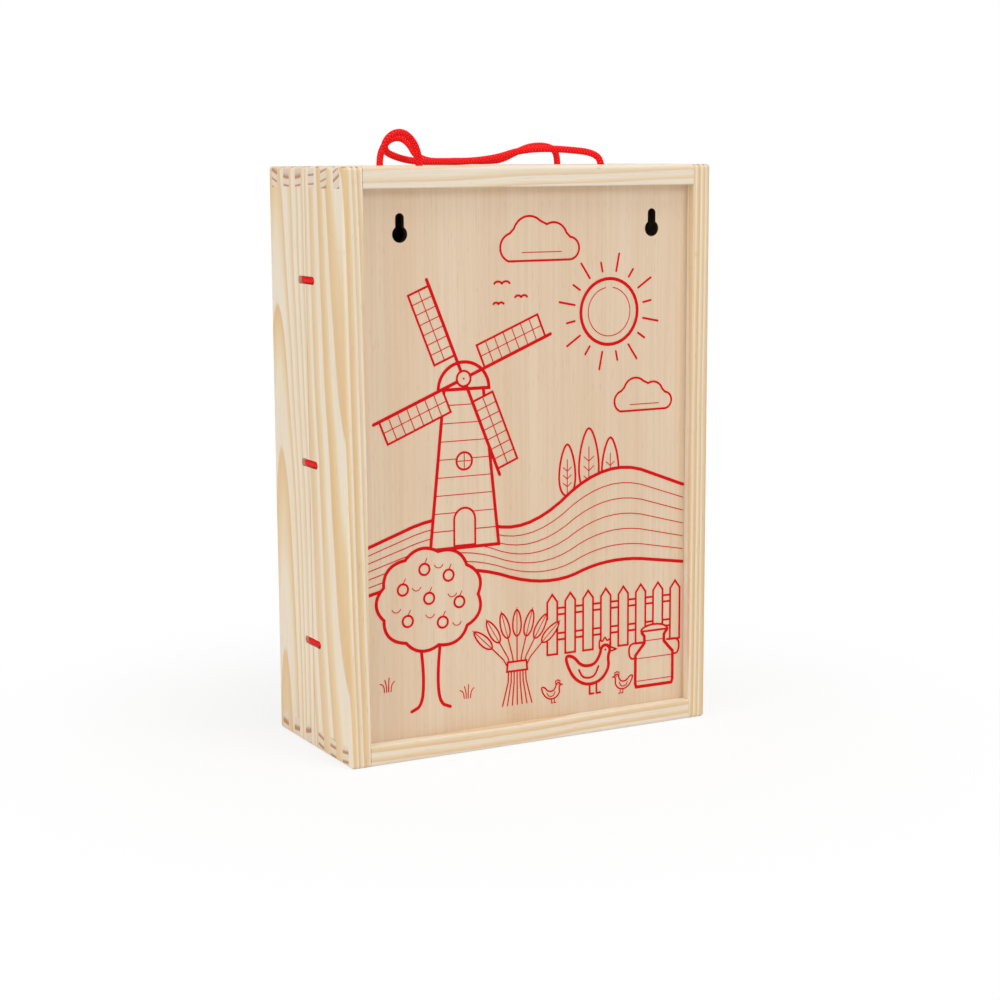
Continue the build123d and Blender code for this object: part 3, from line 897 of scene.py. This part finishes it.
def overhand_knot(name, place, heading, size, radius, tail):
    """Pulled-tight overhand knot with its cut tail, its flat side against the board at place."""
    flatness = 0.42
    loop_steps = 240
    tail_steps = 20
    tail_sway = 0.8 * millimetre
    knot_spacing = 0.35 * millimetre
    heading = Vector(heading)
    across = heading.orthogonal().normalized()
    beside = heading.cross(across)
    middle = Vector(place) + heading * (size * flatness + radius)
    loop_line = []
    for step in range(loop_steps):
        turn = 2 * math.pi * step / loop_steps
        outward = across * math.cos(2 * turn) + beside * math.sin(2 * turn)
        loop_line.append(middle + outward * size * (0.66 + 0.34 * math.cos(3 * turn))
                         + heading * size * flatness * math.sin(3 * turn))
    tail_line = [middle + heading * tail * step / tail_steps + across * tail_sway * math.sin(step / 6)
                 for step in range(tail_steps + 1)]
    knot = braided_tube(name, loop_line, radius, closed=True, spacing=knot_spacing)
    end = braided_tube(name + "_tail", tail_line, radius * 0.96, spacing=knot_spacing)
    return [knot, end]


def join_pieces(name, pieces):
    bpy.ops.object.select_all(action="DESELECT")
    for piece in pieces:
        piece.select_set(True)
    bpy.context.view_layer.objects.active = pieces[0]
    bpy.ops.object.join()
    joined = bpy.context.view_layer.objects.active
    joined.name = name
    joined.select_set(False)
    return joined


hole_offset = 8.0 * millimetre
straight_half = 3.0 * millimetre
cord_sink = 2.0 * millimetre
bend_depth = 6.0 * millimetre
outer_wall_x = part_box("rear_side_left")[0].x
inner_wall_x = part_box("rear_side_left")[1].x
cord_line_x = outer_wall_x + cord_sink
bend_x = outer_wall_x + bend_depth
hinge_heights = {}
for level in ("bottom", "middle", "top"):
    low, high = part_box("hinge_cord_" + level)
    hinge_heights[level] = (low.z + high.z) / 2

for level, height in hinge_heights.items():
    route = cord_route("hinge_" + level, [
        (inner_wall_x, -hole_offset, height), (bend_x, -hole_offset, height),
        (cord_line_x, -hole_offset, height), (cord_line_x, -straight_half, height),
        (cord_line_x, straight_half, height), (cord_line_x, hole_offset, height),
        (bend_x, hole_offset, height), (inner_wall_x, hole_offset, height)])
    hinge_cord = braided_tube(f"hinge_cord_{level}_braid", route, cord_radius)
    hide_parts("hinge_cord_" + level)
    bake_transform(hinge_cord)

for half, side in (("rear", -1), ("front", 1)):
    knots = []
    for level, height in hinge_heights.items():
        hole = (inner_wall_x, side * hole_offset, height)
        knots += overhand_knot(f"{half}_hinge_knot_{level}", hole, heading=(1.0, 0.0, 0.0),
                               size=2.6 * millimetre, radius=1.35 * millimetre, tail=6.5 * millimetre)
    hinge_knots = join_pieces(f"{half}_hinge_cord_knots", knots)
    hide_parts(f"{half}_hinge_knots")
    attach(hinge_knots, f"{half}_half")


# Handles: a longer length of the same red cord on each half, up through one hole in the top
# board, in a limp loop over the top and down through the other hole, knotted underneath.
hole_x = 53.0 * millimetre
exit_rise = 1.5 * millimetre

# Each handle's places between its holes, left or right of the case's middle, back or forth from
# the seam, and above the top, in millimetres
handle_lies = {
    "rear": [
        (-53.6, -23.5, 6.3), (-57.2, -24.6, 12.8), (-63.2, -25.7, 16.8), (-69.4, -25.7, 15.6),
        (-72.6, -23.9, 10.6), (-70.0, -20.7, 6.8), (-64.4, -17.3, 5.0), (-57.2, -13.5, 3.3),
        (-48.2, -10.3, 2.1), (-35.0, -8.1, 2.0), (-16.0, -7.5, 2.0), (-1.0, -8.9, 3.8),
        (9.0, -11.5, 7.2), (22.0, -15.1, 8.4), (36.0, -18.9, 7.6), (47.8, -22.1, 6.2)],
    "front": [
        (-52.4, 23.1, 7.0), (-48.6, 22.1, 13.0), (-42.6, 20.3, 14.6), (-38.2, 17.7, 10.8),
        (-36.6, 14.5, 5.0), (-31.4, 9.9, 2.0), (-21.6, 6.7, 2.0), (-12.2, 10.5, 2.0),
        (-9.0, 20.5, 2.0), (-7.6, 32.0, 2.0), (0.4, 39.4, 2.0), (9.4, 35.6, 2.0),
        (10.6, 25.4, 2.0), (14.6, 16.7, 2.4), (23.0, 15.3, 6.6), (32.4, 17.5, 9.6),
        (43.0, 20.9, 10.0), (51.0, 22.9, 8.0)],
}
for half, lie in handle_lies.items():
    board_low, board_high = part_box(half + "_top_board")
    hole_y = round((board_low.y + board_high.y) / 2, 6)
    ceiling = round(board_low.z, 6)
    case_top = round(board_high.z, 6)
    points = [(-hole_x, hole_y, ceiling), (-hole_x, hole_y, case_top - exit_rise)]
    points += [(x * millimetre, y * millimetre, case_top + lift * millimetre) for x, y, lift in lie]
    points += [(hole_x, hole_y, case_top + exit_rise), (hole_x, hole_y, ceiling)]
    route = cord_route(half + "_handle", points)
    handle = braided_tube(half + "_handle_braid", route, cord_radius)
    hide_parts(half + "_handle_cord")
    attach(handle, half + "_half")
    knots = []
    for hole, x in (("left", -hole_x), ("right", hole_x)):
        knots += overhand_knot(f"{half}_knot_{hole}", (x, hole_y, ceiling), heading=(0.0, 0.0, -1.0),
                               size=3.1 * millimetre, radius=1.5 * millimetre, tail=8.5 * millimetre)
    handle_knots = join_pieces(half + "_handle_cord_knots", knots)
    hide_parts(half + "_handle_knots")
    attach(handle_knots, half + "_half")
    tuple(points[0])


# Play pieces: thick cut-outs with rounded rims, stained in flat water colours that let a little
# grain show through, with painted eyes and markings. They stand loose on the floor and the loft.
def paint(piece, base, seed, marks=(), patches=None):
    """Stains a play piece. Each mark is a colour and the discs it is painted in, as (place from the
    piece's middle, place from its foot, reach across, reach up) in millimetres. Patches are blotches
    all over, as (colour, scale, how much of the noise stays bare)."""
    bare_wood = linear(196, 160, 118)
    blotch_rim = 0.008
    far_away = 9.0
    material = new_material(piece + "_stain")
    tree = material.node_tree
    place = place_on_piece(tree)
    colour = base
    if patches:
        blotch_colour, blotch_scale, share = patches
        blotch_place = spread(tree, place, shift=(seed, 0.0, seed))
        blotches = noise(tree, blotch_place, blotch_scale, 1.0, distortion=0.4)
        blotched = ramp(tree, blotches, [(share - blotch_rim, 0.0), (share + blotch_rim, 1.0)])
        colour = blend_colours(tree, blotched, colour, blotch_colour)

    def from_disc(axis, origin, place_along, reach):
        """How far a place lies from a disc's middle along an axis, by the disc's own reach."""
        middle = origin + place_along * millimetre
        radius = reach * millimetre
        return calculate(tree, "MULTIPLY_ADD", axis, 1 / radius, -middle / radius)

    low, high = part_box(piece)
    axes = add_node(tree, "ShaderNodeSeparateXYZ", {0: place}).outputs
    for mark_colour, discs in marks:
        nearest = far_away
        for x, z, reach_x, reach_z in discs:
            beside = from_disc(axes[0], (low.x + high.x) / 2, x, reach_x)
            above = from_disc(axes[2], low.z, z, reach_z)
            nearest = calculate(tree, "MINIMUM", nearest, distance(tree, beside, above))
        painted = ramp(tree, nearest, [(0.94, 1.0), (1.0, 0.0)])
        colour = blend_colours(tree, painted, colour, mark_colour)
    stretched = spread(tree, place, (60.0, 900.0, 900.0), (seed, seed, 0.0))
    grain = noise(tree, stretched, detail=3.0, roughness=0.6)
    worn = ramp(tree, grain, [(0.4, 0.22), (0.62, 0.0)])
    set_shader(tree, {
        "Base Color": blend_colours(tree, worn, colour, bare_wood),
        "Normal": bump(tree, grain, 0.2, 0.2 * millimetre),
        "Roughness": 0.5, "Specular IOR Level": 0.4})
    finish_node(piece, material)


black_paint = linear(32, 28, 26)
milk_white = linear(240, 232, 214)
comb_red = linear(206, 46, 38)
paint("cow", milk_white, seed=3.0, marks=[
    (linear(233, 184, 168), [(35.5, 41.0, 6.0, 4.4)]),
    (black_paint, [(27.5, 48.0, 1.3, 1.5), (36.5, 42.4, 0.7, 0.9)]),
], patches=(linear(120, 76, 48), 34.0, 0.54))
paint("sheep", linear(238, 230, 214), seed=5.0, marks=[
    (linear(84, 70, 62), [(23.0, 30.5, 9.0, 8.0)]),
    (milk_white, [(22.5, 32.5, 1.6, 1.8)]),
    (black_paint, [(22.8, 32.3, 0.8, 1.0)]),
])
paint("hen", linear(196, 118, 58), seed=7.0, marks=[
    (linear(224, 160, 92), [(-1.0, 16.0, 8.0, 5.4)]),
    (comb_red, [(9.4, 37.6, 6.0, 3.6), (13.2, 26.6, 2.0, 2.8)]),
    (linear(232, 176, 60), [(17.2, 30.4, 3.4, 3.0)]),
    (black_paint, [(10.8, 32.2, 1.0, 1.1)]),
])
paint("horse", linear(164, 98, 54), seed=9.0, marks=[
    (linear(70, 42, 28), [(-37.5, 33.0, 6.6, 21.0), (10.5, 62.0, 6.5, 14.0),
                          (-19.0, 2.0, 24.0, 4.6), (17.0, 2.0, 20.0, 4.6)]),
    (linear(206, 158, 116), [(37.5, 61.0, 7.0, 6.0)]),
    (black_paint, [(23.5, 70.0, 1.3, 1.5), (35.5, 60.5, 0.8, 1.0)]),
])
paint("pig", linear(232, 168, 152), seed=11.0, marks=[
    (linear(214, 132, 120), [(29.0, 20.5, 3.6, 5.0), (12.4, 31.5, 4.0, 6.0)]),
    (black_paint, [(19.0, 26.0, 1.1, 1.3), (29.6, 21.6, 0.7, 1.1)]),
])
apples = [(-12.0, 58.0), (0.0, 66.0), (12.0, 60.0), (-6.0, 48.0), (8.0, 46.0), (-14.0, 44.0)]
paint("tree", linear(106, 142, 66), seed=13.0, marks=[
    (linear(134, 92, 58), [(0.0, 14.0, 13.0, 20.0), (0.0, 0.0, 24.0, 9.0)]),
    (comb_red, [(x, z, 2.6, 2.6) for x, z in apples]),
], patches=(linear(124, 160, 76), 60.0, 0.56))
paint("fence", linear(236, 230, 216), seed=15.0)
paint("hay_bale", linear(224, 186, 100), seed=17.0, marks=[
    (linear(164, 116, 58), [(side * 9.5, 10.0, 1.0, 40.0) for side in (-1, 1)]),
])


# Camera at the photograph's place and angle: to the left of the printed panel and a little above
# the case, far enough away for its long lens. It was fitted to the case's edges in the picture.
camera_place = (-0.51909, -0.97104, 0.30316)
camera_turn = math.radians(-28.32)
camera_dip = math.radians(9.38)
camera_roll = math.radians(-0.26)
camera_data = bpy.data.cameras.new("camera")
camera_data.sensor_width = 36.0
camera_data.lens = 75.64
camera_data.clip_start = 0.01
camera = add_object("camera", camera_data)
camera.matrix_world = (
    Matrix.Translation(camera_place)
    @ Matrix.Rotation(camera_turn, 4, "Z")
    @ Matrix.Rotation(math.pi / 2 - camera_dip, 4, "X")
    @ Matrix.Rotation(camera_roll, 4, "Z")
)
bpy.context.scene.camera = camera


# White paper floor that keeps the case's shadow round its foot and fades into the white
# background further out. Three soft boxes and a bright room light the case evenly.
floor_radius = 6.0
shadow_reach = 0.12
white_from = 0.32
room_light = 0.38
white = (1.0, 1.0, 1.0, 1.0)
paper_white = (0.9, 0.9, 0.9, 1.0)


def seen_directly(tree):
    """1 where the camera looks, also in a mirror or through glass, and 0 for light on its way."""
    rays = add_node(tree, "ShaderNodeLightPath").outputs
    reflected = calculate(tree, "MAXIMUM", rays["Is Glossy Ray"], rays["Is Transmission Ray"])
    return calculate(tree, "MAXIMUM", rays["Is Camera Ray"], reflected)


bpy.ops.mesh.primitive_circle_add(vertices=96, radius=floor_radius, fill_type="NGON")
floor = bpy.context.object
floor.name = "floor"
bpy.context.scene.view_settings.view_transform = "Standard"

paper = new_material("white_paper")
tree = paper.node_tree
from_middle = add_node(tree, "ShaderNodeVectorMath", {0: place_on_piece(tree)}, operation="LENGTH")
fading = ramp(tree, from_middle.outputs["Value"], [(shadow_reach, 0.8), (white_from, 1.0)], "EASE")
set_shader(tree, {"Base Color": paper_white, "Roughness": 0.9, "Specular IOR Level": 0.0})
glow = add_node(tree, "ShaderNodeEmission", {"Color": white, "Strength": 1.0}).outputs[0]
mixed = add_node(tree, "ShaderNodeMixShader", {
    0: calculate(tree, "MULTIPLY", seen_directly(tree), fading),
    1: tree.nodes["Principled BSDF"].outputs[0], 2: glow}).outputs[0]
connect(tree, tree.nodes["Material Output"], {"Surface": mixed})
floor.data.materials.append(paper)

room = bpy.data.worlds.new("bright_room")
bpy.context.scene.world = room
room.use_nodes = True
tree = room.node_tree
strength = calculate(tree, "MULTIPLY_ADD", seen_directly(tree), 1.0 - room_light, room_light)
connect(tree, tree.nodes["Background"], {"Color": white, "Strength": strength})


def soft_box(name, place, size, power):
    """A square lamp that faces the case."""
    case_middle = Vector((0.0, 0.0, 0.15))
    light = bpy.data.lights.new(name, "AREA")
    light.shape = "SQUARE"
    light.size = size
    light.energy = power
    lamp = add_object(name, light)
    aim = (case_middle - Vector(place)).to_track_quat("-Z", "Y")
    lamp.matrix_world = Matrix.Translation(place) @ aim.to_matrix().to_4x4()


soft_box("key_soft_box", place=(0.95, -2.6, 2.0), size=1.4, power=29.5)
soft_box("left_soft_box", place=(-3.3, -0.5, 1.0), size=2.4, power=51.0)
soft_box("overhead_soft_box", place=(0.1, -0.5, 2.3), size=1.2, power=20.0)
